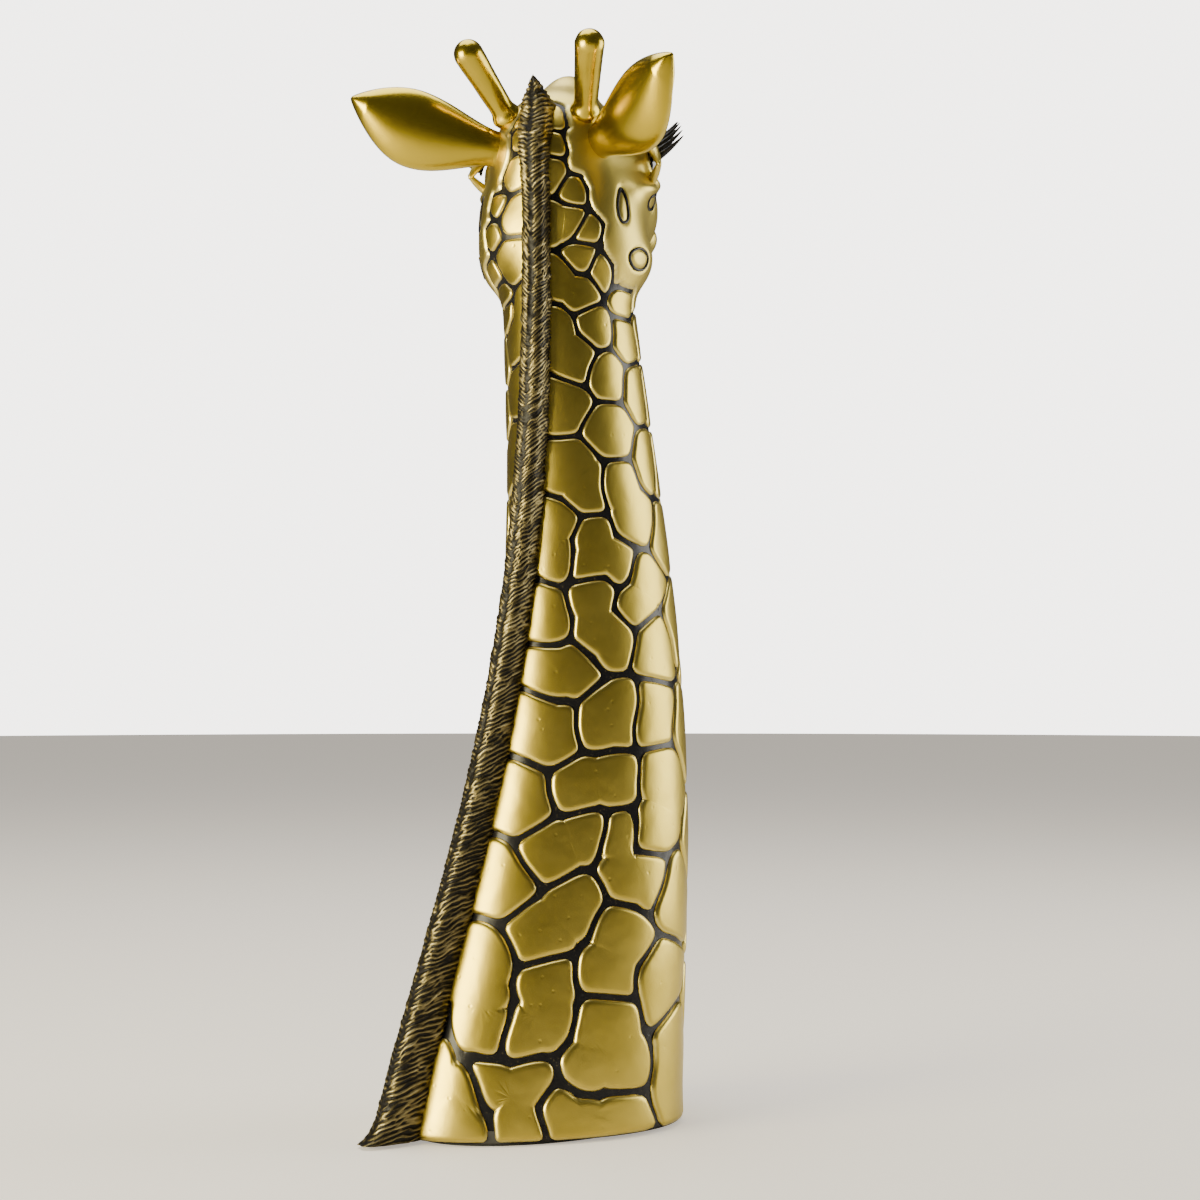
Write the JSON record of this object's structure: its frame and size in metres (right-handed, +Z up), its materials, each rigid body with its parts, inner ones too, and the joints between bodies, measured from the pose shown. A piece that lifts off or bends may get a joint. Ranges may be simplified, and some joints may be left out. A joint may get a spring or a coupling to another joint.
{
  "type": "giraffe bust",
  "caption": "Standing giraffe neck and head ornament with a cast patched hide, a textured mane down the nape, leaf-shaped ears, club horns and lashed eyes.",
  "frame": {"origin": "middle of the bust's box, on the surface it stands on", "axes": "+Z up; the chest faces -Y, and the head is turned towards +X; the giraffe's right side is on -X"},
  "size_m": [0.1244, 0.1392, 0.3786],
  "materials": {
    "hide": "satin gold over cast resin",
    "groove_black": "gloss black",
    "mane": "antique gold rubbed over black",
    "bright_gold": "polished gold over cast resin",
    "eye": "gloss black",
    "pin_steel": "bright",
    "plate": "plain",
    "felt": "black felt"
  },
  "bodies": {
    "root": {"neck_and_head": "hide", "mane_strip": "mane", "left_ear": "bright_gold", "right_ear": "bright_gold", "left_horn": "bright_gold", "right_horn": "bright_gold", "left_eye": "eye", "right_eye": "eye", "left_lashes": "groove_black", "right_lashes": "groove_black", "ear_pins": "pin_steel", "horn_pins": "pin_steel", "base_plate": "plate", "felt_pad": "felt"}
  },
  "joints": []
}
